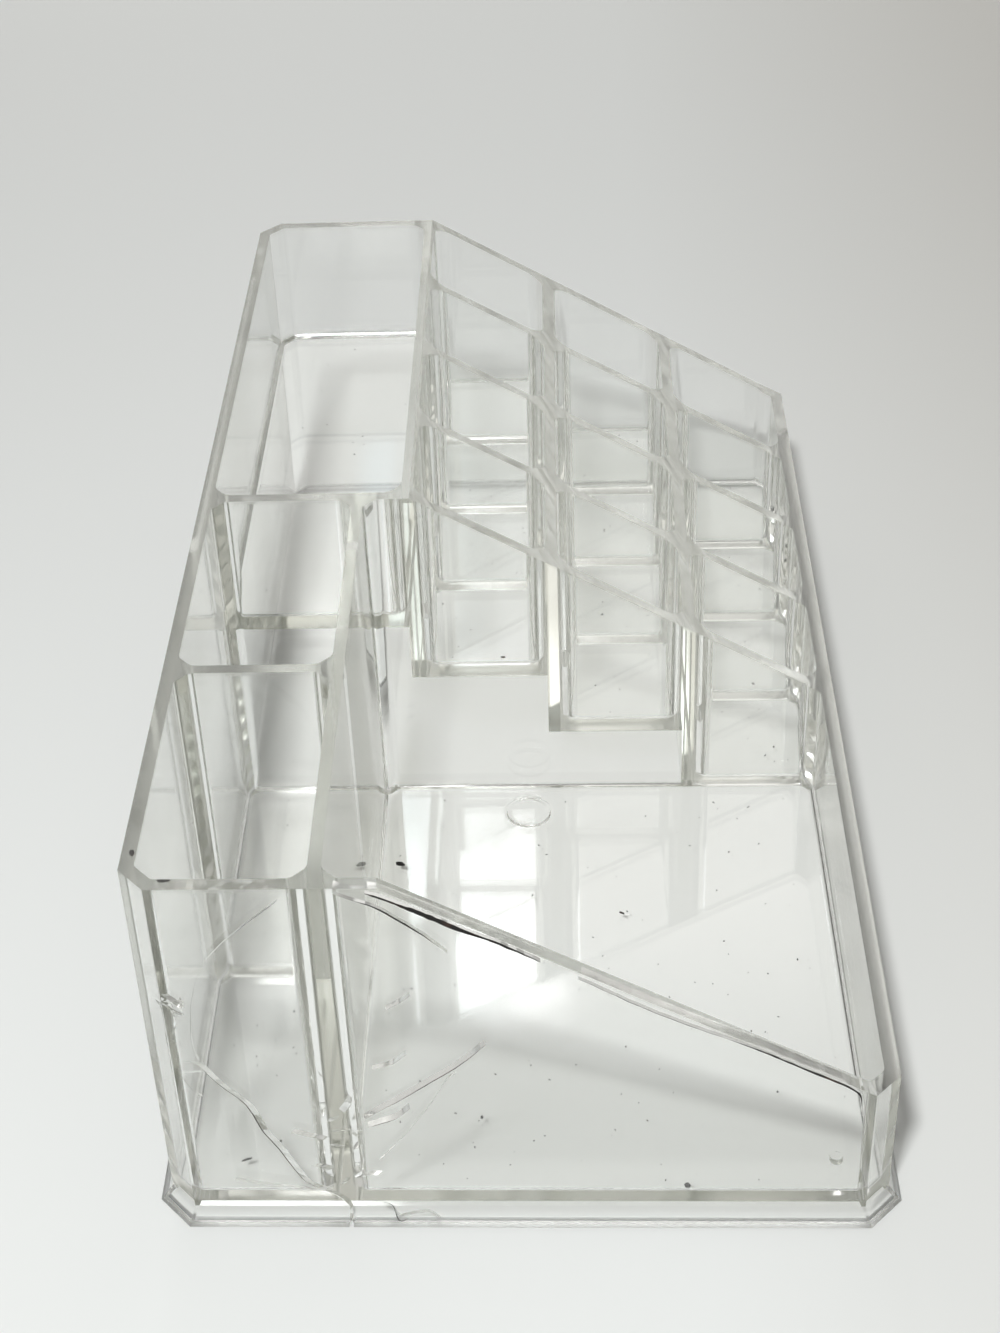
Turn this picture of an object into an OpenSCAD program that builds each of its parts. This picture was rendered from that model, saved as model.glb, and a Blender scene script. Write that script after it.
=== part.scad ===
// Clear vanity organizer: a long stepped block of open compartments on a flared foot.
// The tall side is the back (+Y), the low side is the front (-Y), and the tray is on the left (-X).
// Origin: the middle of the footprint, on the surface that the organizer stands on.

/* [Overall] */
// Length over the rims, from the left end to the right end
rim_l = 220; // [190:1:260]
// Depth over the rims, from the front to the back
rim_w = 121; // [112:1:140]
// Height of the back half
tall_h = 76; // [72:1:95]
// Height of the front rim
low_h = 30; // [26:1:36]
// Depth of the level part of the end rims, before they slope down to the front
level_d = 40; // [35:1:44]
// Leg of the chamfer on each upright outer corner
corner_leg = 4.4; // [3.6:0.1:7]

/* [Plastic] */
// Thickness of the outer walls and of the cross wall
wall_t = 2.3; // [1.8:0.1:3]
// Thickness of the inner walls
divider_t = 2.1; // [1.5:0.1:2.6]
// Thickness of the bottom plate
floor_t = 2; // [1.6:0.1:3]
// Thickness of the raised floors
tier_t = 2.6; // [1.6:0.1:3.2]
// Leg of the triangular fillet in each upright inner corner
fillet_leg = 2.4; // [1.5:0.1:3.5]

/* [Foot] */
// Height of the hollow skirt under the bottom plate
skirt_h = 2.8; // [2.6:0.1:6]
// How far the skirt flares out at the bottom
skirt_flare = 2.2; // [1:0.1:3.5]
// Width of the skirt's bottom rim
skirt_rim = 1.5; // [1:0.1:2]

/* [Tray and cups] */
// Inside length of the tray and of the two cups behind it
tray_l = 102; // [85:1:115]
// Inside depth of the two cups
cup_d = 26.5; // [20:0.5:32]
// Distance from the cross wall to the middle of the round gate mark on the tray floor
gate_set = 8; // [7:0.5:20]
// Outer diameter of the gate mark
gate_d = 10; // [6:0.5:12]
// Width of the gate mark's ring
gate_ring = 0.7; // [0.4:0.1:1.2]
// Depth of the gate mark's ring
gate_depth = 0.4; // [0.2:0.1:0.8]

/* [Lipstick cells] */
// Number of cells along the length
rows = 4; // [3:1:5]
// Height of the long back compartment's floor, top face
back_floor_h = 47.5; // [42:0.5:54]
// Height of the back cells' floor, top face
upper_floor_h = 35; // [32:0.5:39]
// Height of the middle cells' floor, top face
middle_floor_h = 20.5; // [16:0.5:26]

/* [Hidden] */
columns = ["back", "middle", "front"];
cups = 2;
sides = ["front_left", "front", "front_right", "right", "back_right", "back", "back_left", "left"];
overrun = 5;
// Growth of a 45 degree chamfer's leg when its outline moves out by 1
leg_share = 2 - sqrt(2);

half_l = rim_l / 2;
half_w = rim_w / 2;
inner_x = half_l - wall_t;
inner_y = half_w - wall_t;
floor_h = skirt_h + floor_t;
level_y = half_w - level_d;

// Faces of the cross wall, of the cups' front wall and of the long back compartment's front wall
cross_x0 = -inner_x + tray_l;
cross_x1 = cross_x0 + wall_t;
cups_y1 = inner_y - cup_d;
cups_y0 = cups_y1 - divider_t;
long_y1 = level_y + divider_t;

// Inside size of one cup and of one lipstick cell
cup_l = (tray_l - (cups - 1) * divider_t) / cups;
cell_l = (inner_x - cross_x1 - (rows - 1) * divider_t) / rows;
cell_d = (level_y + inner_y - (len(columns) - 1) * divider_t) / len(columns);

// Lowest edge of a cup or of a cell along X, and of a column of cells along Y, counted from the back
function cup_x(n) = -inner_x + n * (cup_l + divider_t);
function cell_x(n) = cross_x1 + n * (cell_l + divider_t);
function cell_y(c) = level_y - (c + 1) * cell_d - c * divider_t;
cell_floors = [upper_floor_h, middle_floor_h, floor_h];
tier_bottoms = [upper_floor_h - tier_t, middle_floor_h - tier_t, skirt_h];

// The footprint's eight points, counter-clockwise from the left front, moved out by d with mitred corners
function outline(d) =
    let (x = half_l + d, y = half_w + d, c = corner_leg + d * leg_share)
    [[-x, c - y], [c - x, -y], [x - c, -y], [x, c - y],
     [x, y - c], [x - c, y], [c - x, y], [-x, y - c]];

// The outline's point at the start of a named side
function start_of(side) = search([side], sides)[0];

// The strip of the footprint along one side, from d_in to d_out, mitred at both ends
function strip(side, d_in, d_out) =
    let (a = outline(d_in), b = outline(d_out), n = start_of(side), next = (n + 1) % len(a))
    [b[n], b[next], a[next], a[n]];

function rectangle(x0, x1, y0, y1) = [[x0, y0], [x1, y0], [x1, y1], [x0, y1]];

function row_divider_name(c, n) = str("row_divider_", columns[c], "_", n);

module clear_plastic() {
    color([0.86, 0.9, 0.87, 0.35]) children();
}

// Everything under the rims: level at the back, sloping to the front, level over the front wall
module under_rims() {
    y_end = half_w + overrun;
    rotate([90, 0, 90])
        linear_extrude(rim_l + 2 * overrun, center = true)
            polygon([[-y_end, -overrun], [y_end, -overrun], [y_end, tall_h], [level_y, tall_h],
                     [corner_leg - half_w, low_h], [-y_end, low_h]]);
}

// An upright wall or fillet: its plan from height z up to the rims
module upright(plan, z) {
    clear_plastic() intersection() {
        translate([0, 0, z]) linear_extrude(tall_h + overrun - z) polygon(plan);
        under_rims();
    }
}

// A level plate of thickness t with its top face at height z, trimmed to the inside of the outer walls
module plate(x0, x1, y0, y1, z, t) {
    intersection() {
        translate([0, 0, z - t]) linear_extrude(t) polygon(outline(-wall_t));
        translate([x0, y0, z - t - overrun]) cube([x1 - x0, y1 - y0, t + 2 * overrun]);
    }
}

// One side of the outer wall, mitred into its neighbours
module outer_wall(side) {
    upright(strip(side, -wall_t, 0), skirt_h);
}

// One side of the skirt: a slanted section run along the side and cut at the mitres
module skirt_bar(side) {
    plan = outline(0);
    start = plan[start_of(side)];
    run = plan[(start_of(side) + 1) % len(plan)] - start;
    clear_plastic() intersection() {
        translate(start) rotate([90, 0, 90 + atan2(run.y, run.x)])
            translate([0, 0, -overrun]) linear_extrude(norm(run) + 2 * overrun)
                polygon([[0, skirt_h], [-skirt_flare, 0], [skirt_rim - skirt_flare, 0], [wall_t, skirt_h]]);
        translate([0, 0, -overrun]) linear_extrude(skirt_h + 2 * overrun)
            polygon(strip(side, -wall_t - overrun / 4, skirt_flare + overrun / 4));
    }
}

module skirt_corners() {
    for (side = ["front_left", "front_right", "back_right", "back_left"]) skirt_bar(side);
}

// The ring that the moulding gate leaves in the tray floor
module gate_mark() {
    translate([cross_x0 - gate_set, 0, floor_h - gate_depth]) difference() {
        cylinder(d = gate_d, h = gate_depth + overrun, $fn = 64);
        translate([0, 0, -overrun]) cylinder(d = gate_d - 2 * gate_ring, h = gate_depth + 3 * overrun, $fn = 64);
    }
}

module tray_floor() {
    clear_plastic() difference() {
        plate(-inner_x, cross_x0, -inner_y, inner_y, floor_h, floor_t);
        gate_mark();
    }
}

module back_compartment_floor() {
    clear_plastic() plate(cross_x1, inner_x, long_y1, inner_y, back_floor_h, tier_t);
}

// The floor under one column of lipstick cells
module cell_floor(c) {
    z = cell_floors[c];
    clear_plastic() plate(cross_x1, inner_x, cell_y(c), cell_y(c) + cell_d, z, z - tier_bottoms[c]);
}

module cross_wall() {
    upright(rectangle(cross_x0, cross_x1, -inner_y, inner_y), skirt_h);
}

module cups_front_wall() {
    upright(rectangle(-inner_x, cross_x0, cups_y0, cups_y1), floor_h);
}

module cup_divider() {
    for (n = [1 : cups - 1])
        upright(rectangle(cup_x(n) - divider_t, cup_x(n), cups_y1, inner_y), floor_h);
}

// The step in front of the long back compartment, down to the back cells' floor
module back_compartment_front_wall() {
    upright(rectangle(cross_x1, inner_x, level_y, long_y1), tier_bottoms[0]);
}

// The step in front of column c, down to the floor of the next column
module column_divider(c) {
    upright(rectangle(cross_x1, inner_x, cell_y(c) - divider_t, cell_y(c)), tier_bottoms[c + 1]);
}

// The wall between cells n and n + 1 of column c
module row_divider(c, n) {
    upright(rectangle(cell_x(n) - divider_t, cell_x(n), cell_y(c), cell_y(c) + cell_d), cell_floors[c]);
}

// A fillet in an upright corner, with its legs towards sx and sy
module fillet(x, y, sx, sy, z) {
    upright([[x, y], [x + sx * fillet_leg, y], [x, y + sy * fillet_leg]], z);
}

// Fillets in the corners of one compartment, except where the outer wall is already chamfered
module pocket_fillets(x0, x1, y0, y1, z) {
    for (sx = [-1, 1]) for (sy = [-1, 1]) {
        x = sx < 0 ? x1 : x0;
        y = sy < 0 ? y1 : y0;
        at_outer_corner = abs(x) > inner_x - fillet_leg && abs(y) > inner_y - fillet_leg;
        if (!at_outer_corner) fillet(x, y, sx, sy, z);
    }
}

module tray_fillets() {
    pocket_fillets(-inner_x, cross_x0, -inner_y, cups_y0, floor_h);
}

module cup_fillets() {
    for (n = [0 : cups - 1]) pocket_fillets(cup_x(n), cup_x(n) + cup_l, cups_y1, inner_y, floor_h);
}

module back_compartment_fillets() {
    pocket_fillets(cross_x1, inner_x, long_y1, inner_y, back_floor_h);
}

module cell_fillets(c) {
    for (n = [0 : rows - 1])
        pocket_fillets(cell_x(n), cell_x(n) + cell_l, cell_y(c), cell_y(c) + cell_d, cell_floors[c]);
}

skirt_bar("left");  // skirt_left
skirt_bar("right");  // skirt_right
skirt_bar("front");  // skirt_front
skirt_bar("back");  // skirt_back
skirt_corners();
outer_wall("left");  // left_end_wall
outer_wall("right");  // right_end_wall
outer_wall("front");  // front_wall
outer_wall("back");  // back_wall
outer_wall("front_left");  // front_left_corner
outer_wall("front_right");  // front_right_corner
outer_wall("back_left");  // back_left_corner
outer_wall("back_right");  // back_right_corner
tray_floor();
back_compartment_floor();
cell_floor(0);  // back_cell_floor
cell_floor(1);  // middle_cell_floor
cell_floor(2);  // front_cell_floor
cross_wall();
cups_front_wall();
cup_divider();
back_compartment_front_wall();
column_divider(0);  // back_column_divider
column_divider(1);  // front_column_divider
for (c = [0 : len(columns) - 1]) for (n = [1 : rows - 1])
    row_divider(c, n);
tray_fillets();
cup_fillets();
back_compartment_fillets();
cell_fillets(0);  // back_cell_fillets
cell_fillets(1);  // middle_cell_fillets
cell_fillets(2);  // front_cell_fillets
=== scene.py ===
# Clear vanity organizer: one moulding of clear plastic with sixteen compartments on a flared skirt
import math
import random
import bmesh
import bpy
from mathutils import Matrix, Vector, noise


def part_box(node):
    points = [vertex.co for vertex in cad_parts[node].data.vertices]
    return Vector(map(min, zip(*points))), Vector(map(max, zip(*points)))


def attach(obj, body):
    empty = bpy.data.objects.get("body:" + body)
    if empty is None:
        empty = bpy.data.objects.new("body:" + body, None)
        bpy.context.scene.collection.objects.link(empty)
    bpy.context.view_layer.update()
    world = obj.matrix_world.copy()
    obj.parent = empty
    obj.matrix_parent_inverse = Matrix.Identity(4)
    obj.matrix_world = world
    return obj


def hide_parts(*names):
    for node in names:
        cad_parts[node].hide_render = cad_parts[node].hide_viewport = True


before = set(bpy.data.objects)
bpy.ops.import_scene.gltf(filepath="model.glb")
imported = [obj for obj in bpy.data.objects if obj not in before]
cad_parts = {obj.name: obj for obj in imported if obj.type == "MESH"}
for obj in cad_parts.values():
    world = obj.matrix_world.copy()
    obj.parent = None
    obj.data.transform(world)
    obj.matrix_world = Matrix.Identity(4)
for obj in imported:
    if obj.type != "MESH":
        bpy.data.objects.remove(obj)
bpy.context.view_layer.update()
mm = 0.001
print("stage: frame loaded,", len(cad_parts), "nodes")


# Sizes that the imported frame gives
def across(node, axis):
    low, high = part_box(node)
    return low[axis], high[axis]


rimX, innerX = -across("left_end_wall", 0)[0], -across("left_end_wall", 0)[1]
innerY, rimY = across("back_wall", 1)
skirtZ, tallZ = across("back_wall", 2)
lowZ = across("front_wall", 2)[1]
cornerLeg = rimX - across("back_wall", 0)[1]
flare = -across("skirt_left", 0)[0] - rimX
kneeY, longFrontY = across("back_compartment_front_wall", 1)
crossX = across("cross_wall", 0)
floorZ = across("tray_floor", 2)[1]

moulding = {
    "cornerShare": 2 - math.sqrt(2),  # how much a 45 degree corner grows with its outline
    "filletLeg": 2.4 * mm,
    "draft": math.radians(0.3),
    "floorRound": 1.3 * mm,  # where a compartment's walls meet its floor
    "floorSteps": 4,
    "skirtRim": 1.5 * mm,
    "filletSoftShare": 0.25,  # of a fillet's width, where it runs into each wall
    "cellSoftShare": 0.4,  # the same right of the cross wall
    "cutSoftShare": 0.12,  # the same at the outer walls' cut corners
    "softSteps": 5,
    "edgeRound": 0.5 * mm,
    "edgeSteps": 3,
    "sharpAngle": math.radians(33),
    "kneeSet": 0.5 * mm,  # the slope starts this far into the cells' back wall
    "overrun": 6 * mm,
    "onWall": 0.1 * mm,  # a pocket's side this close to an outer wall's face lies on it
    "plainCorner": 0.01 * mm,  # the leg of a corner that is hardly cut
    "tierDip": 1.5 * mm,  # how far the stepped hollow reaches down into the skirt's
    "merge": 0.002 * mm,
    "flatAngle": math.radians(0.2),  # faces closer to level with each other than this are one face
    "stripWidth": 0.6 * mm,  # narrower faces belong to rounded edges
    "smoothAngle": math.radians(60),
}


def chamferedRing(x, y, legs, grow, z):
    # eight points, counter-clockwise from the left front, of a rectangle with cut corners, grown on all sides
    a, b, c, d = (leg + moulding["cornerShare"] * grow for leg in legs)
    x0, x1, y0, y1 = x[0] - grow, x[1] + grow, y[0] - grow, y[1] + grow
    return [(x0, y0 + a, z), (x0 + a, y0, z), (x1 - b, y0, z), (x1, y0 + b, z),
            (x1, y1 - c, z), (x1 - c, y1, z), (x0 + d, y1, z), (x0, y1 - d, z)]


def loft(bm, rings):
    # a closed solid through rings that have the same number of points
    made = [[bm.verts.new(p) for p in ring] for ring in rings]
    count = len(made[0])
    bm.faces.new(reversed(made[0]))
    bm.faces.new(made[-1])
    for lower, upper in zip(made, made[1:]):
        for i in range(count):
            j = (i + 1) % count
            bm.faces.new((lower[i], lower[j], upper[j], upper[i]))


def meshObject(name, bm):
    bmesh.ops.recalc_face_normals(bm, faces=bm.faces)
    mesh = bpy.data.meshes.new(name)
    bm.to_mesh(mesh)
    bm.free()
    made = bpy.data.objects.new(name, mesh)
    bpy.context.scene.collection.objects.link(made)
    return made


def applied(piece):
    # the piece with its modifiers made part of its mesh
    graph = bpy.context.evaluated_depsgraph_get()
    mesh = bpy.data.meshes.new_from_object(piece.evaluated_get(graph))
    piece.modifiers.clear()
    old = piece.data
    piece.data = mesh
    bpy.data.meshes.remove(old)
    return piece


def combined(piece, other, operation):
    cut = piece.modifiers.new("cut", "BOOLEAN")
    cut.object, cut.operation, cut.solver = other, operation, "EXACT"
    applied(piece)
    bpy.data.objects.remove(other)
    return piece


def outerBlock():
    # the whole outside: flared skirt, upright walls, level back rims, slope and level front rims
    bm = bmesh.new()
    wide = (-rimX, rimX)
    deep = (-rimY, rimY)
    legs = (cornerLeg,) * 4
    foot = [bm.verts.new(p) for p in chamferedRing(wide, deep, legs, flare, 0)]
    waist = [bm.verts.new(p) for p in chamferedRing(wide, deep, legs, 0, skirtZ)]
    rims = [bm.verts.new((x, y, lowZ if y < 0 else tallZ))
            for x, y, z in chamferedRing(wide, deep, legs, 0, 0)]
    kneeLeft, kneeRight = (bm.verts.new((x, kneeY + moulding["kneeSet"], tallZ)) for x in wide)
    bm.faces.new(reversed(foot))
    for i in range(8):
        j = (i + 1) % 8
        bm.faces.new((foot[i], foot[j], waist[j], waist[i]))
        if i not in (3, 7):
            bm.faces.new((waist[i], waist[j], rims[j], rims[i]))
    bm.faces.new((waist[3], waist[4], rims[4], kneeRight, rims[3]))
    bm.faces.new((waist[7], waist[0], rims[0], kneeLeft, rims[7]))
    bm.faces.new(rims[0:4])
    bm.faces.new((rims[3], kneeRight, kneeLeft, rims[0]))
    bm.faces.new((kneeRight, *rims[4:8], kneeLeft))
    return meshObject("organizer", bm)


def compartments():
    # every compartment as x range, y range and floor height
    cupsFront = across("cups_front_wall", 1)
    split = across("cup_divider", 0)
    made = [((-innerX, crossX[0]), (-innerY, cupsFront[0]), floorZ),
            ((-innerX, split[0]), (cupsFront[1], innerY), floorZ),
            ((split[1], crossX[0]), (cupsFront[1], innerY), floorZ),
            ((crossX[1], innerX), (longFrontY, innerY), across("back_compartment_floor", 2)[1])]
    backDivider, frontDivider = across("back_column_divider", 1), across("front_column_divider", 1)
    steps = [kneeY, *backDivider[::-1], *frontDivider[::-1], -innerY]
    for index, column in enumerate(("back", "middle", "front")):
        dividers = [edge for n in (1, 2, 3) for edge in across(f"row_divider_{column}_{n}", 0)]
        edges = [crossX[1], *dividers, innerX]
        yRange = steps[2 * index + 1], steps[2 * index]
        for xRange in zip(edges[::2], edges[1::2]):
            made.append((xRange, yRange, across(f"{column}_cell_floor", 2)[1]))
    return made


def pocketCorners(x, y):
    # a compartment's corner is a fillet, or runs along the outer wall's own cut corner: legs and softness
    outer = cornerLeg - (rimX - innerX) * moulding["cornerShare"]
    wallX, wallY = innerX - moulding["onWall"], innerY - moulding["onWall"]
    corners = ((x[0], y[0]), (x[1], y[0]), (x[1], y[1]), (x[0], y[1]))
    cut = [abs(cx) > wallX and abs(cy) > wallY for cx, cy in corners]
    legs = [outer if c else moulding["filletLeg"] for c in cut]
    soft = moulding["cellSoftShare" if x[0] > crossX[0] else "filletSoftShare"]
    return legs, [moulding["cutSoftShare"] if c else soft for c in cut]


def softened(ring, shares):
    # the ring with each end of its cut corners rounded off
    made = []
    for i, point in enumerate(ring):
        here, before, after = Vector(point), Vector(ring[i - 1]), Vector(ring[(i + 1) % len(ring)])
        reach = shares[i // 2] * min((before - here).length, (after - here).length)
        start = here + (before - here).normalized() * reach
        end = here + (after - here).normalized() * reach
        for step in range(moulding["softSteps"] + 1):
            t = step / moulding["softSteps"]
            made.append(start * (1 - t) ** 2 + here * 2 * t * (1 - t) + end * t ** 2)
    return made


def pocketShapes():
    bm = bmesh.new()
    lean = math.tan(moulding["draft"])
    for x, y, z in compartments():
        legs, shares = pocketCorners(x, y)
        rings = []
        for step in range(moulding["floorSteps"] + 1):
            turn = math.pi / 2 * step / moulding["floorSteps"]
            height = moulding["floorRound"] * (1 - math.cos(turn))
            inset = moulding["floorRound"] * (1 - math.sin(turn)) + lean * (tallZ - z - height)
            rings.append(chamferedRing(x, y, legs, -inset, z + height))
        rings.append(chamferedRing(x, y, legs, lean * moulding["overrun"], tallZ + moulding["overrun"]))
        loft(bm, [softened(ring, shares) for ring in rings])
    return meshObject("pockets", bm)


def underside():
    # the stepped hollow under the raised floors, and the inside of the skirt
    outer = cornerLeg - (rimX - innerX) * moulding["cornerShare"]
    legs = (outer,) * 4
    slant = (innerX - rimX - flare + moulding["skirtRim"]) / skirtZ
    below = moulding["overrun"]
    bm = bmesh.new()
    wall = (-innerX, innerX), (-innerY, innerY)
    loft(bm, [chamferedRing(*wall, legs, -slant * (skirtZ + below), -below),
              chamferedRing(*wall, legs, 0, skirtZ)])
    hollow = meshObject("hollow", bm)
    steps = [("middle", across("front_column_divider", 1)[1]), ("back", across("back_column_divider", 1)[1])]
    tiers = [(y, across(f"{name}_cell_floor", 2)[0]) for name, y in steps]
    tiers.append((longFrontY, across("back_compartment_floor", 2)[0]))
    for y, z in tiers:
        bm = bmesh.new()
        plain = moulding["plainCorner"]
        legs = (plain, plain, outer, plain)
        x = (crossX[1], innerX)
        loft(bm, [chamferedRing(x, (y, innerY), legs, 0, skirtZ - moulding["tierDip"]),
                  chamferedRing(x, (y, innerY), legs, 0, z)])
        combined(hollow, meshObject("tier", bm), "UNION")
    return hollow


def roundRing(centre, radius, sides, z):
    turns = [math.tau * i / sides for i in range(sides)]
    return [(centre[0] + radius * math.cos(t), centre[1] + radius * math.sin(t), z) for t in turns]


gate = {
    "set": 8 * mm,  # from the cross wall
    "sides": 96,
    # the mark's profile as radius and height over the floor in mm, from its dished middle to its groove
    "profile": [(3.3, -0.35), (3.7, -0.35), (3.95, -0.05), (4.3, -0.05), (4.45, -0.55), (4.75, -0.55),
                (5.1, 0.05), (5.1, 6.0)],
}


def gateMark():
    # the round mark that the moulding gate leaves in the tray floor
    bm = bmesh.new()
    loft(bm, [roundRing((crossX[0] - gate["set"], 0), radius * mm, gate["sides"], floorZ + height * mm)
              for radius, height in gate["profile"]])
    return meshObject("gate", bm)


def meshNote(piece, stage):
    bm = bmesh.new()
    bm.from_mesh(piece.data)
    openEdges = sum(not e.is_manifold for e in bm.edges)
    volume = round(bm.calc_volume() * 1e6, 1)  # in cm3
    print(f"stage: {stage},", len(bm.verts), "points,", openEdges, "open edges,", volume, "cm3")
    bm.free()


def organizerShape():
    piece = outerBlock()
    combined(piece, pocketShapes(), "DIFFERENCE")
    combined(piece, underside(), "DIFFERENCE")
    bm = bmesh.new()
    bm.from_mesh(piece.data)
    bmesh.ops.remove_doubles(bm, verts=bm.verts, dist=moulding["merge"])
    bmesh.ops.dissolve_limit(bm, angle_limit=moulding["flatAngle"], verts=bm.verts, edges=bm.edges)
    bm.to_mesh(piece.data)
    bm.free()
    meshNote(piece, "moulding cut")
    return piece


def roundEdges(piece):
    bevel = piece.modifiers.new("edges", "BEVEL")
    bevel.width, bevel.segments = moulding["edgeRound"], moulding["edgeSteps"]
    bevel.limit_method, bevel.angle_limit = "ANGLE", moulding["sharpAngle"]
    bevel.use_clamp_overlap, bevel.harden_normals = True, False
    bevel.miter_outer = "MITER_SHARP"
    return applied(piece)


def shadeEdges(piece):
    # broad faces stay flat, and the narrow strips of rounded edges turn from one broad face to the next
    bm = bmesh.new()
    bm.from_mesh(piece.data)
    bm.normal_update()
    broad = {f for f in bm.faces if 2 * f.calc_area() / f.calc_perimeter() > moulding["stripWidth"]}
    normals = []
    for face in bm.faces:
        for vert in face.verts:
            near = [f for f in vert.link_faces if f.normal.angle(face.normal) < moulding["smoothAngle"]]
            flats = [f for f in near if f in broad]
            if face in broad or not near:
                normals.append(face.normal.copy())
            elif flats:
                normals.append(max(flats, key=lambda f: f.calc_area()).normal.copy())
            else:
                normals.append(sum((f.normal for f in near), Vector()).normalized())
    bm.free()
    piece.data.shade_smooth()
    piece.data.normals_split_custom_set(normals)


nub = {
    "at": (-100.5 * mm, -52 * mm), "radius": 1.15 * mm, "height": 1.1 * mm, "sides": 32, "steps": 6,
    "topShare": 0.55,  # its flat top's radius, as a share
}


def clearNub():
    # a round nub of plastic on the tray floor, sunk into it by half its height
    half = nub["height"] / 2
    rings = [roundRing(nub["at"], nub["radius"], nub["sides"], floorZ - half)]
    for step in range(nub["steps"]):
        turn = math.pi / 2 * step / nub["steps"]
        share = nub["topShare"] + (1 - nub["topShare"]) * math.cos(turn)
        height = floorZ + half * (1 + math.sin(turn))
        rings.append(roundRing(nub["at"], nub["radius"] * share, nub["sides"], height))
    bm = bmesh.new()
    loft(bm, rings)
    return meshObject("nub", bm)


cracks = {
    # each crack's points on the left end wall's outer face, as y and z in mm, its gap, and how far it slants
    # along y and z for each mm that it goes into the wall
    "foot": {"points": [(55, 38.3), (52.3, 38), (49, 33), (45, 28), (43, 22), (40.5, 17), (37.5, 10.2),
                        (34.8, 7.4), (32, 5.6), (30, 3), (29.4, 0.6), (29.2, -0.6)],
             "gap": 0.16, "slant": (-0.32, -0.5)},
    "arc": {"points": [(36, 73.6), (39.6, 70.3), (43, 67), (46.4, 63.3), (49.2, 59), (51, 53.5), (51.8, 49),
                       (52.3, 42), (51.6, 38.5)], "gap": 0.06, "slant": (0.06, -0.34)},
    "corner": {"points": [(55.2, 51.5), (54.2, 50.2), (52.8, 49.2)], "gap": 0.1, "slant": (0.3, -0.6)},
    "edge": {"points": [(54.6, 50), (54.2, 47), (55.2, 44), (54.7, 40), (55, 36), (53.7, 32.4), (51.8, 30)],
             "gap": 0.07, "slant": (0.15, -0.35)},
    "low": {"points": [(48.7, 9.4), (43, 8.1), (37, 7.2), (33, 6.6)], "gap": 0.05, "slant": (0, -0.33)},
    "rimUpper": {"points": [(22.8, 75), (19.7, 73.6), (16.8, 72), (13.2, 70), (8.8, 67.3), (2.8, 64.2),
                            (-3.2, 60.4)],
                 "gap": 0.16, "slant": (0, -0.16)},
    "rimLower": {"points": [(27.6, 75), (25, 73.7), (21.3, 72), (17.7, 69.1), (14.1, 65.9), (10.9, 62.4)],
                 "gap": 0.09, "slant": (0, -0.22)},
    "rimLong": {"points": [(-9, 56.7), (-18.4, 50.6), (-26.2, 46.2), (-34, 42.3), (-38.8, 39.7),
                           (-43.6, 36.8), (-48.4, 34), (-52.3, 31.5), (-53.6, 29.6), (-53.9, 26)],
                "gap": 0.08, "slant": (0, -0.22)},
    "fanLong": {"points": [(26, 24.6), (24, 26.1), (19.9, 29.2), (14.9, 33.3), (9.9, 37.5), (5.7, 42.1)],
                "gap": 0.12, "slant": (0.1, -0.02)},
    "fanLow": {"points": [(25.5, 22.6), (23.6, 23.4), (21, 24.6), (18.4, 27.1)],
               "gap": 0.1, "slant": (0.08, 0)},
    "fanMiddle": {"points": [(24, 36.4), (22, 37), (20.3, 38), (18.4, 39.8)],
                  "gap": 0.08, "slant": (0.05, -0.1)},
    "fanHigh": {"points": [(21.1, 50.1), (19, 51.4), (17.1, 53.1)], "gap": 0.06, "slant": (0.05, -0.1)},
    "fine": {"points": [(24.1, 14.5), (19.6, 20.7), (15.2, 28), (12.2, 34), (10.8, 35.4)],
             "gap": 0.05, "slant": (0.03, -0.33)},
    "skirt": {"points": [(24.2, 3.9), (22.7, 2.9), (21.5, 0.9), (20, 1.1), (16.6, 1.6), (14.7, 0.5)],
              "gap": 0.1, "slant": (0.1, -0.6)},
    "notch": {"points": [(29.2, 0.9), (29.15, 0.3), (29.1, -0.6)], "gap": 0.7, "slant": (-0.2, 0)},
}
shards = {
    # small splits round the cracks' foot and along the left edge: y range, z range, how many
    "places": [((27.4, 33.4), (5.6, 27), 11), ((52.4, 55.4), (33, 52), 5)],
    "seed": 5, "length": (1.6, 6), "gap": (0.05, 0.12), "slant": 0.45, "bend": 0.5,
}
crackLook = {
    "steps": 5, "ragged": 0.1 * mm, "raggedScale": 0.5 / mm,
    "endShare": 0.25,  # the gap at a crack's ends
    "reach": 0.25 * mm,  # how far a cut goes beyond the wall
}


def smoothPath(points, steps):
    # a curve through the points
    ends = [points[0] * 2 - points[1]] + points + [points[-1] * 2 - points[-2]]
    made = []
    for a, b, c, d in zip(ends, ends[1:], ends[2:], ends[3:]):
        bend, twist = a * 2 - b * 5 + c * 4 - d, b * 3 - a - c * 3 + d
        for step in range(steps):
            t = step / steps
            made.append((b * 2 + (c - a) * t + bend * t ** 2 + twist * t ** 3) / 2)
    return made + [points[-1]]


def pathSteps(path):
    # each point of a path, how far it strays on a ragged line, and the direction across the path there
    for i, point in enumerate(path):
        along = (path[min(i + 1, len(path) - 1)] - path[max(i - 1, 0)]).normalized()
        stray = noise.noise(Vector((*point, 0)) * crackLook["raggedScale"]) * crackLook["ragged"]
        yield point, stray, Vector((-along.y, along.x))


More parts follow.
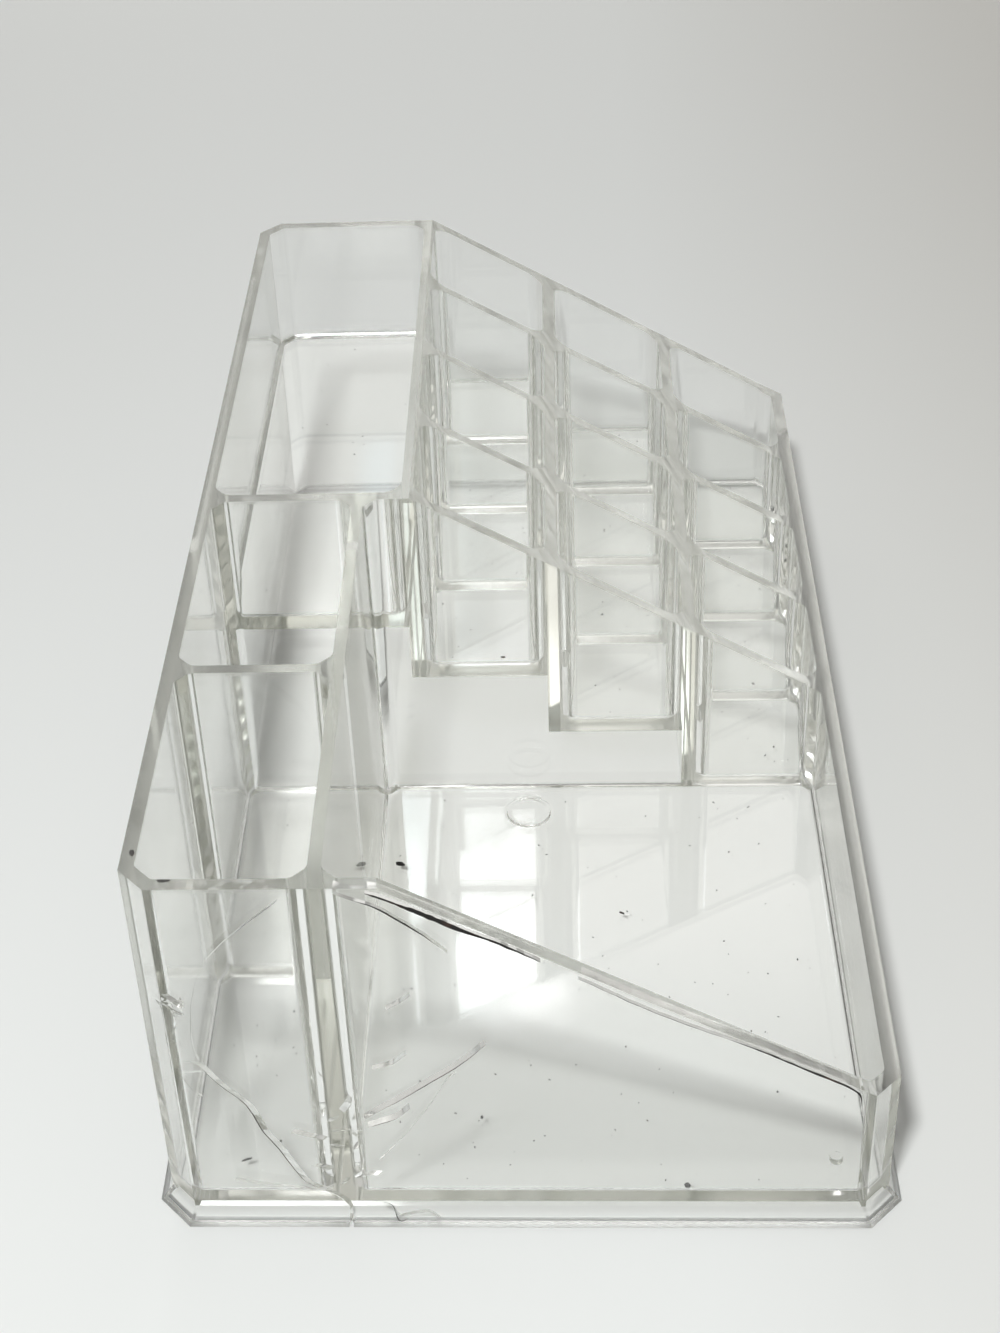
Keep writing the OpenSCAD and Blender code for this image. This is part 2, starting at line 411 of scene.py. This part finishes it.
def shardCracks():
    # more cracks of the same kind, drawn at random
    draw = random.Random(shards["seed"])
    for yRange, zRange, count in shards["places"]:
        for i in range(count):
            y, z = draw.uniform(*yRange), draw.uniform(*zRange)
            length, turn = draw.uniform(*shards["length"]), draw.uniform(0, math.pi)
            bend = draw.uniform(-1, 1) * shards["bend"]
            half = length / 2
            middle = (y + half * math.cos(turn), z + half * math.sin(turn))
            end = (middle[0] + half * math.cos(turn + bend), middle[1] + half * math.sin(turn + bend))
            slant = draw.uniform(-1, 1) * shards["slant"], draw.uniform(-1, 0) * shards["slant"]
            yield {"points": [(y, z), middle, end], "gap": draw.uniform(*shards["gap"]), "slant": slant}


def crackCutter(crack):
    # a thin slanting slab that follows the crack's ragged line, open at the wall's outer face
    look = crackLook
    path = smoothPath([Vector(p) * mm for p in crack["points"]], look["steps"])
    slant = Vector(crack["slant"])
    outside, inside = -rimX - flare - look["reach"], -innerX + look["reach"]
    rings = []
    for i, (point, stray, sideways) in enumerate(pathSteps(path)):
        share = i / (len(path) - 1)
        half = crack["gap"] * mm / 2 * (look["endShare"] + (1 - look["endShare"]) * math.sin(math.pi * share))
        ring = []
        for x, side in ((outside, half), (outside, -half), (inside, -half), (inside, half)):
            place = point + slant * (x + rimX) + sideways * (side + stray)
            ring.append((x, place.x, place.y))
        rings.append(ring)
    bm = bmesh.new()
    loft(bm, rings)
    return meshObject("crack", bm)


organizer = organizerShape()
combined(organizer, clearNub(), "UNION")
roundEdges(organizer)
meshNote(organizer, "edges rounded")
combined(organizer, gateMark(), "DIFFERENCE")
for crack in [*cracks.values(), *shardCracks()]:
    combined(organizer, crackCutter(crack), "DIFFERENCE")
meshNote(organizer, "cracks cut")
shadeEdges(organizer)
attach(organizer, "root")
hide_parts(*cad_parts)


class Wire:
    # a socket in an expression: each operator adds a Math node
    def __init__(self, nodes, socket):
        self.nodes, self.socket = nodes, socket

    def worked(self, operation, *terms):
        return self.nodes.add("Math", {"operation": operation}, dict(enumerate(terms)))

    def __add__(self, other):
        return self.worked("ADD", self, other)

    def __radd__(self, other):
        return self.worked("ADD", other, self)

    def __sub__(self, other):
        return self.worked("SUBTRACT", self, other)

    def __rsub__(self, other):
        return self.worked("SUBTRACT", other, self)

    def __mul__(self, other):
        return self.worked("MULTIPLY", self, other)

    def __rmul__(self, other):
        return self.worked("MULTIPLY", other, self)


class Nodes:
    # a material's or the world's nodes
    def __init__(self, owner):
        owner.use_nodes = True
        self.tree = owner.node_tree
        self.tree.nodes.clear()

    def add(self, kind, settings=None, sockets=None, out=0):
        # one node: its settings first, then the values or links of its sockets; gives one of its outputs
        made = self.tree.nodes.new("ShaderNode" + kind)
        for name, value in (settings or {}).items():
            setattr(made, name, value)
        for name, value in (sockets or {}).items():
            if isinstance(value, Wire):
                self.tree.links.new(value.socket, made.inputs[name])
            else:
                made.inputs[name].default_value = value
        return Wire(self, made.outputs[out]) if made.outputs else made

    def fade(self, value, start, end, shares):
        # a soft step from one share to another
        return self.add("MapRange", {"interpolation_type": "SMOOTHSTEP"}, {
            0: value, 1: start, 2: end, 3: shares[0], 4: shares[1]})


clearPlastic = {
    "tint": (0.99, 0.995, 0.99, 1),
    "ior": 1.59,
    "absorbed": (0.745, 0.75, 0.71, 1),
    "density": 18.0,
    "roughness": (0.032, 0.08),
    "rimRoughness": 0.12,
    "footRoughness": 0.4,  # worn rough where it stands
    "rimTint": (0.9, 0.9, 0.885, 1),
    "rimTintScale": 300, "rimTintDetail": 2, "rimTintStrength": 2,
    "smudgeScale": 38, "smudgeDetail": 3, "smudgeRoughness": 0.65, "smudged": (0.52, 0.78),
    "waveScale": 28, "waveDetail": 0, "waveHeight": 0.05 * mm,
    "passing": (0.98, 0.98, 0.975, 1),
    "trapped": (0.07, 0.07, 0.065, 1),
    "edgeOn": (0.05, 0.85),  # how much light is held by inner and outer walls that it meets edge-on
    "outerSkin": 0.3 * mm,
    "rimDepth": 0.7 * mm,  # light that enters the rims is led down inside the walls
    "rimShadow": (0.5, 0.95),  # inner and outer rims
    "footDepth": 0.5 * mm,
    "footShadow": 0.9,
}


def clearPlasticMaterial():
    look = clearPlastic
    material = bpy.data.materials.new("clear plastic")
    nodes = Nodes(material)
    place = nodes.add("TexCoord", out="Object")
    smudge = nodes.add("TexNoise", None, {
        "Vector": place, "Scale": look["smudgeScale"], "Detail": look["smudgeDetail"],
        "Roughness": look["smudgeRoughness"]})
    smudge = nodes.add("MapRange", None, {0: smudge, 1: look["smudged"][0], 2: look["smudged"][1]})
    x, y, z = (nodes.add("SeparateXYZ", None, {0: place}, out=axis) for axis in "XYZ")
    rimHeight = nodes.add("MapRange", None, {0: y, 1: cornerLeg - rimY, 2: kneeY, 3: lowZ, 4: tallZ})
    onRim = nodes.add("Math", {"operation": "GREATER_THAN"}, {0: z + look["rimDepth"], 1: rimHeight})
    atFoot = nodes.add("Math", {"operation": "LESS_THAN"}, {0: z, 1: look["footDepth"]})
    low, high = look["roughness"]
    roughness = smudge * (high - low) + onRim * look["rimRoughness"] + atFoot * look["footRoughness"] + low
    # the rims tinted greyer in fine noise patches
    rimNoise = nodes.add("TexNoise", None, {
        "Vector": place, "Scale": look["rimTintScale"], "Detail": look["rimTintDetail"]})
    rimGreying = onRim * rimNoise * look["rimTintStrength"]
    tint = nodes.add("Mix", {"data_type": "RGBA"}, {0: rimGreying, 6: look["tint"], 7: look["rimTint"]}, out=2)
    wave = nodes.add("TexNoise", None, {
        "Vector": place, "Scale": look["waveScale"], "Detail": look["waveDetail"]})
    bump = nodes.add("Bump", None, {"Height": wave, "Distance": look["waveHeight"]})
    body = nodes.add("BsdfPrincipled", None, {
        "Base Color": tint, "IOR": look["ior"], "Transmission Weight": 1, "Roughness": roughness,
        "Normal": bump})
    # lamp light, and light on its way to matt surfaces, passes straight through the plastic,
    # dimmed most where it meets a wall edge-on
    facing = nodes.add("LayerWeight", out="Facing")
    passing = nodes.add("BsdfTransparent", None, {"Color": look["passing"]})
    trapped = nodes.add("BsdfTransparent", None, {"Color": look["trapped"]})
    beyond = [nodes.add("Math", {"operation": "ABSOLUTE"}, {0: value}) - (wall - look["outerSkin"])
              for value, wall in ((x, innerX), (y, innerY))]
    outermost = nodes.add("Math", {"operation": "MAXIMUM"}, {0: beyond[0], 1: beyond[1]})
    outer = nodes.add("Math", {"operation": "GREATER_THAN"}, {0: outermost, 1: 0})
    edgeOn, rimShadow = (outer * (high - low) + low for low, high in (look["edgeOn"], look["rimShadow"]))
    held = nodes.add("Math", {"operation": "MAXIMUM"}, {0: onRim * rimShadow, 1: atFoot * look["footShadow"]})
    held = nodes.add("Math", {"operation": "MAXIMUM"}, {0: facing * facing * facing * edgeOn, 1: held})
    through = nodes.add("MixShader", None, {0: held, 1: passing, 2: trapped})
    path = "LightPath"
    spread = nodes.add("MixShader", None, {0: nodes.add(path, out="Is Diffuse Ray"), 1: body, 2: through})
    shown = nodes.add("MixShader", None, {0: nodes.add(path, out="Is Shadow Ray"), 1: spread, 2: through})
    inside = nodes.add("VolumeAbsorption", None, {"Color": look["absorbed"], "Density": look["density"]})
    nodes.add("OutputMaterial", None, {"Surface": shown, "Volume": inside})
    return material


organizer.data.materials.clear()
organizer.data.materials.append(clearPlasticMaterial())
print("stage: plastic ready")

darkCrackStretches = {
    # a dark strip in a crack: the stretch of the crack that it fills, as shares, and its width in mm
    "rimUpper": [(0.0, 0.3, 0.4), (0.22, 0.8, 0.95), (0.7, 1.0, 0.4)],
    "rimLower": [(0.25, 0.9, 0.3)],
    "rimLong": [(0.0, 0.28, 0.1), (0.3, 0.95, 0.42)],
    "foot": [(0.12, 0.62, 0.16)],
    "fanLong": [(0.3, 1.0, 0.14)],
    "fanLow": [(0.1, 0.7, 0.1)],
    "arc": [(0.0, 0.3, 0.09)],
    "corner": [(0.1, 0.9, 0.14)],
    "skirt": [(0.05, 0.6, 0.12)],
}
specks = {
    # dark specks: what they lie on, their places as x and y in mm, length, width and turn in degrees
    "tray": [(-29.1, 25.4, 1.9, 1.2, 70), (-105.9, -26.8, 1.2, 1.0, 20), (-43.1, -17.9, 1.2, 0.5, 60),
             (-86.1, -43.5, 0.5, 0.4, 0), (-91.6, 7.9, 0.9, 0.5, 10), (-98.0, 9.0, 0.4, 0.3, 0),
             (-62.0, -9.5, 0.4, 0.3, 0), (-24.0, -2.0, 0.5, 0.3, 40)],
    "cup": [(-100.6, 48.0, 1.9, 0.5, 112), (-96.7, 42.5, 0.6, 0.4, 30), (-105.3, 45.9, 0.5, 0.3, 0),
            (-67.2, 42.9, 0.5, 0.4, 0)],
    "back": [(-0.6, 4.5, 1.0, 0.6, 80), (5.0, -1.0, 0.4, 0.3, 0)],
    "middle": [(32.9, -16.0, 0.6, 0.5, 0), (8.0, -14.0, 0.5, 0.3, 0)],
    "front": [(28.5, -48.4, 0.8, 0.5, 40), (6.6, -51.0, 0.6, 0.4, 0)],
    "rim": [(-101.7, 58.9, 1.5, 0.8, 10), (-107.9, 53.2, 2.1, 0.7, 95)],
}
speckLook = {
    "rounding": 2,  # how often a ball's facets are split
    "unevenness": 0.35, "unevenScale": 3, "spread": 900,  # spread sets how unlike two neighbours are
    "heightShare": 0.5, "sunkShare": 0.1, "flatShare": 0.02, "clearShare": 0.03,  # of a speck's width
    "rimSet": 0.3 * mm,  # specks on the rims are sunk this far into them
}
dust = {
    "seed": 7, "count": 800, "small": 0.05 * mm, "large": 0.3 * mm,
    "fineness": 3,  # a higher power makes more of the grains small
    "longest": 2.2,  # length over width
    "clearance": 1.2,  # from the walls, in fillet legs
}


def lump(bm, place, length, width, turn):
    # one rounded crumb with an uneven outline, flat side down
    look = speckLook
    turned = Matrix.Rotation(turn, 3, "Z")
    ball = bmesh.ops.create_icosphere(bm, subdivisions=look["rounding"], radius=0.5)  # 1 across, to be scaled
    for vert in ball["verts"]:
        sample = vert.co * look["unevenScale"] + Vector(place) * look["spread"]
        uneven = 1 + look["unevenness"] * noise.noise(sample)
        height = max(vert.co.z, -look["sunkShare"]) * width * look["heightShare"]
        shape = Vector((vert.co.x * length, vert.co.y * width, height)) * uneven
        shape.z = max(shape.z, -look["flatShare"] * width)
        vert.co = Vector(place) + turned @ shape + Vector((0, 0, look["clearShare"] * width))


def crumbs():
    heights = {"tray": floorZ, "cup": floorZ, "rim": tallZ - speckLook["rimSet"]}
    heights.update({name: across(f"{name}_cell_floor", 2)[1] for name in ("back", "middle", "front")})
    bm = bmesh.new()
    for name, places in specks.items():
        for x, y, length, width, turn in places:
            lump(bm, (x * mm, y * mm, heights[name]), length * mm, width * mm, math.radians(turn))
    draw = random.Random(dust["seed"])
    clear = moulding["filletLeg"] * dust["clearance"]
    for x, y, z in compartments():
        share = (x[1] - x[0]) * (y[1] - y[0]) / (4 * innerX * innerY)
        for i in range(round(dust["count"] * share)):
            place = [draw.uniform(low + clear, high - clear) for low, high in (x, y)]
            size = dust["small"] + (dust["large"] - dust["small"]) * draw.random() ** dust["fineness"]
            lump(bm, (*place, z), size * draw.uniform(1, dust["longest"]), size, draw.uniform(0, math.pi))
    piece = meshObject("crumbs", bm)
    piece.data.shade_smooth()
    return piece


strip = {
    # a dark strip along a crack: how it thins at its ends, how uneven its width is, and its section
    "endSteps": (0.3, 0.4), "taper": 0.6, "unevenness": 0.5, "unevenScale": 1.1 / mm,
    "back": 0.004 * mm, "front": 0.03 * mm, "frontShare": 0.6,
}


def darkCrackStrips():
    # thin ragged dark strips where the cracks come out of the wall
    bm = bmesh.new()
    before, after = strip["endSteps"]
    for name, stretches in darkCrackStretches.items():
        path = smoothPath([Vector(p) * mm for p in cracks[name]["points"]], crackLook["steps"])
        flared = flare if name == "skirt" else 0
        for start, end, width in stretches:
            part = path[round(start * (len(path) - 1)):round(end * (len(path) - 1)) + 1]
            rings = []
            for i, (point, stray, sideways) in enumerate(pathSteps(part)):
                swell = math.sin(math.pi * (i + before) / (len(part) - after)) ** strip["taper"]
                uneven = 1 + strip["unevenness"] * noise.noise(Vector((*point, 0)) * strip["unevenScale"])
                half = width * mm / 2 * swell * uneven
                narrow = half * strip["frontShare"]
                ring = []
                for depth, side in ((strip["back"], half), (strip["back"], -half),
                                    (strip["front"], -narrow), (strip["front"], narrow)):
                    place = point + sideways * (side + stray)
                    out = -rimX - flared * min(max(1 - place.y / skirtZ, 0), 1)
                    ring.append((out - depth, place.x, place.y))
                rings.append(ring)
            loft(bm, rings)
    return meshObject("dark_crack_strips", bm)


dirt = {
    "tones": [(0.006, 0.005, 0.004, 1), (0.07, 0.03, 0.018, 1)],
    "scale": 260, "detail": 4, "brownFrom": (0.5, 0.75), "roughness": 0.8, "grain": 0.03 * mm,
}


def dirtMaterial():
    material = bpy.data.materials.new("dark dirt")
    nodes = Nodes(material)
    place = nodes.add("TexCoord", out="Object")
    patch = nodes.add("TexNoise", None, {"Vector": place, "Scale": dirt["scale"], "Detail": dirt["detail"]})
    patch = nodes.add("MapRange", None, {0: patch, 1: dirt["brownFrom"][0], 2: dirt["brownFrom"][1]})
    black, brown = dirt["tones"]
    tone = nodes.add("Mix", {"data_type": "RGBA"}, {0: patch, 6: black, 7: brown}, out=2)
    bump = nodes.add("Bump", None, {"Height": patch, "Distance": dirt["grain"]})
    body = nodes.add("BsdfPrincipled", None, {
        "Base Color": tone, "Roughness": dirt["roughness"], "Normal": bump})
    nodes.add("OutputMaterial", None, {"Surface": body})
    return material


# one dark material for the dust and specks and for the dark strips along the cracks
dirtAndDarkStrips = dirtMaterial()
for piece in (crumbs(), darkCrackStrips()):
    piece.data.materials.append(dirtAndDarkStrips)
    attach(piece, "root")
print("stage: dirt ready")

table = {
    "half": 4.0, "below": 0.02 * mm, "roughness": 0.6,
    "tone": (0.79, 0.8, 0.79, 1), "otherTone": (0.77, 0.78, 0.765, 1), "cloudScale": 3, "cloudDetail": 3,
    "shadedRightTone": (0.66, 0.65, 0.62, 1), "right": (-0.03, -0.16),  # painted shade: the table darker and duller from the first y to the second
    "litTone": (0.87, 0.87, 0.855, 1),  # where the organizer's upright walls throw light back down
    "litFrom": (-0.085, -0.02), "litTo": (0.07, 0.12), "litAside": (0.05, 0.066),
}


def tableTop():
    bm = bmesh.new()
    half = table["half"]
    corners = ((-half, -half), (half, -half), (half, half), (-half, half))
    bm.faces.new([bm.verts.new((x, y, 0)) for x, y in corners])
    floor = meshObject("table", bm)
    floor.location.z = -table["below"]
    material = bpy.data.materials.new("pale table")
    nodes = Nodes(material)
    place = nodes.add("TexCoord", out="Object")
    x, y = (nodes.add("SeparateXYZ", None, {0: place}, out=axis) for axis in "XY")
    aside = nodes.add("Math", {"operation": "ABSOLUTE"}, {0: y})
    # painted shade: a mask that darkens the table towards the right
    right = nodes.add("MapRange", None, {0: y, 1: table["right"][0], 2: table["right"][1]})
    lit = nodes.fade(aside, *table["litAside"], (1, 0))
    lit = lit * nodes.fade(x, *table["litFrom"], (0, 1)) * nodes.fade(x, *table["litTo"], (1, 0))
    cloud = nodes.add("TexNoise", None, {
        "Vector": place, "Scale": table["cloudScale"], "Detail": table["cloudDetail"]})
    tone = nodes.add("Mix", {"data_type": "RGBA"}, {0: cloud, 6: table["tone"], 7: table["otherTone"]}, out=2)
    tone = nodes.add("Mix", {"data_type": "RGBA"}, {0: right, 6: tone, 7: table["shadedRightTone"]}, out=2)
    tone = nodes.add("Mix", {"data_type": "RGBA"}, {0: lit, 6: tone, 7: table["litTone"]}, out=2)
    body = nodes.add("BsdfPrincipled", None, {"Base Color": tone, "Roughness": table["roughness"]})
    nodes.add("OutputMaterial", None, {"Surface": body})
    floor.data.materials.append(material)


lamps = {
    "key": {"from": (-0.5, 0.115, 0.78), "to": (0, 0, 0.03), "size": (0.084, 0.084), "power": 7.3,
            "colour": (0.985, 1, 1), "mirrored": True},
    "far": {"from": (1.1, 0.2, 0.7), "to": (1.1, 0.2, 0), "size": (0.9, 0.9), "power": 4.6,
            "colour": (1, 0.99, 0.97), "mirrored": False},
}
room = {
    "colour": (1, 0.985, 0.945, 1),
    # brightness all round, added towards the far end, and added overhead
    "level": 0.45, "ahead": 0.35, "above": 0.2,
    "least": 0.03,
    "spread": 0.27,  # the share of it that lights matt surfaces
    # a bright wall at the far end, which lights no matt surface, and the angles over which its edges fade
    "glow": 0.5,
    "glowFrom": (math.radians(18), math.radians(30)),
    "glowTo": (math.radians(44), math.radians(49)),
    "glowSides": (math.radians(35), math.radians(60)),
}
window = {
    # the bright window that the floors mirror, as angles: its sides from the far end, its ends up from level
    "sides": (math.radians(-0.1), math.radians(6.1)),
    "ends": (math.radians(32), math.radians(47.2)),
    "blur": math.radians(0.5),
    "colours": ((1, 0.97, 0.98, 1), (0.88, 0.97, 1, 1)),
    "brightFrom": (math.radians(37), math.radians(44)),  # weak below, full above
    "light": (1.9, 7.5),
    "paleTo": math.radians(2.4),
    "paleLight": 0.45,
    "bars": (math.radians(2.3), math.radians(3.9), math.radians(4.9)),
    "barEdge": (math.radians(0.13), math.radians(0.26)),  # from a bar's middle to where its edge fades
    "barLight": 0.35,
}


def areaLamp(name, lamp):
    light = bpy.data.lights.new(name, "AREA")
    light.shape, light.energy = "RECTANGLE", lamp["power"]
    light.color = lamp["colour"]
    light.size, light.size_y = lamp["size"]
    made = bpy.data.objects.new(name, light)
    made.location = lamp["from"]
    made.visible_glossy = made.visible_transmission = lamp["mirrored"]
    made.rotation_euler = (Vector(lamp["to"]) - made.location).to_track_quat("-Z", "Y").to_euler()
    bpy.context.scene.collection.objects.link(made)


def lighting():
    for name, lamp in lamps.items():
        areaLamp(name, lamp)
    world = bpy.data.worlds.new("room")
    bpy.context.scene.world = world
    nodes = Nodes(world)
    towards = nodes.add("TexCoord", out="Generated")
    x, y, z = (nodes.add("SeparateXYZ", None, {0: towards}, out=axis) for axis in "XYZ")
    tone = room["level"] + x * room["ahead"] + z * room["above"]
    tone = nodes.add("Math", {"operation": "MAXIMUM"}, {0: tone, 1: room["least"]})
    seen = nodes.add("LightPath", out="Is Camera Ray")
    for ray in ("Is Glossy Ray", "Is Transmission Ray"):
        seen = nodes.add("Math", {"operation": "MAXIMUM"}, {0: seen, 1: nodes.add("LightPath", out=ray)})
    turn = nodes.add("Math", {"operation": "ARCTAN2"}, {0: y, 1: x})
    rise = nodes.add("Math", {"operation": "ARCSINE"}, {0: z})
    glow = seen * room["glow"]
    aside = nodes.add("Math", {"operation": "ABSOLUTE"}, {0: turn})
    glow = glow * nodes.fade(rise, *room["glowFrom"], (0, 1)) * nodes.fade(rise, *room["glowTo"], (1, 0))
    glow = glow * nodes.fade(aside, *room["glowSides"], (1, 0))
    tone = tone * (seen * (1 - room["spread"]) + room["spread"]) + glow
    first, last = window["sides"]
    inWindow = nodes.add("MapRange", None, {0: turn, 1: first, 2: window["paleTo"], 3: window["paleLight"]})
    start, end = window["barEdge"]
    for bar in window["bars"]:
        aside = nodes.add("Math", {"operation": "ABSOLUTE"}, {0: turn - bar})
        beside = nodes.add("MapRange", None, {0: aside, 1: start, 2: end, 3: window["barLight"]})
        inWindow = inWindow * beside
    blur = window["blur"]
    for angle, (start, end) in ((turn, window["sides"]), (rise, window["ends"])):
        inWindow = inWindow * nodes.fade(angle, start - blur, start + blur, (0, 1))
        inWindow = inWindow * nodes.fade(angle, end - blur, end + blur, (1, 0))
    roomLight = nodes.add("Background", None, {"Color": room["colour"], "Strength": tone})
    side = nodes.add("MapRange", None, {0: turn, 1: first, 2: last})
    colours = window["colours"]
    tint = nodes.add("Mix", {"data_type": "RGBA"}, {0: side, 6: colours[0], 7: colours[1]}, out=2)
    (start, end), (weak, full) = window["brightFrom"], window["light"]
    strength = nodes.add("MapRange", None, {0: rise, 1: start, 2: end, 3: weak, 4: full})
    windowLight = nodes.add("Background", None, {"Color": tint, "Strength": strength})
    shown = nodes.add("MixShader", None, {0: inWindow, 1: roomLight, 2: windowLight})
    nodes.add("OutputWorld", None, {"Surface": shown})


cameraView = {
    "place": (-345.95 * mm, -7.28 * mm, 302.94 * mm),
    "yaw": math.radians(4.195), "pitch": math.radians(35.251), "roll": math.radians(-3.339),
    "frame": (1000, 1333),  # the picture's width and height in pixels
    "focalPixels": 2183.9,
    "centrePixel": (430, 560),  # where the lens points; the picture is probably a crop
    "sensor": 36, "nearest": 0.01,
}


def camera():
    view = cameraView
    yaw, pitch, roll = view["yaw"], view["pitch"], view["roll"]
    ahead = Vector((math.cos(pitch) * math.cos(yaw), math.cos(pitch) * math.sin(yaw), -math.sin(pitch)))
    level = Vector((math.sin(yaw), -math.cos(yaw), 0))
    right = Matrix.Rotation(-roll, 3, ahead) @ level
    width, height = view["frame"]
    lens = bpy.data.cameras.new("camera")
    lens.sensor_width = view["sensor"]
    lens.lens = view["focalPixels"] / height * view["sensor"]
    lens.shift_x = (width / 2 - view["centrePixel"][0]) / height
    lens.shift_y = (view["centrePixel"][1] - height / 2) / height
    lens.clip_start = view["nearest"]
    made = bpy.data.objects.new("camera", lens)
    turned = Matrix((right, right.cross(ahead), -ahead)).transposed().to_4x4()
    made.matrix_world = Matrix.Translation(view["place"]) @ turned
    bpy.context.scene.collection.objects.link(made)
    bpy.context.scene.camera = made


tableTop()
lighting()
camera()
scene = bpy.context.scene
scene.view_settings.view_transform = "Standard"
bounces = {
    "max_bounces": 128, "transmission_bounces": 128, "glossy_bounces": 128,
    "transparent_max_bounces": 96,
}
for name, count in bounces.items():
    setattr(scene.cycles, name, count)
print("stage: scene ready")
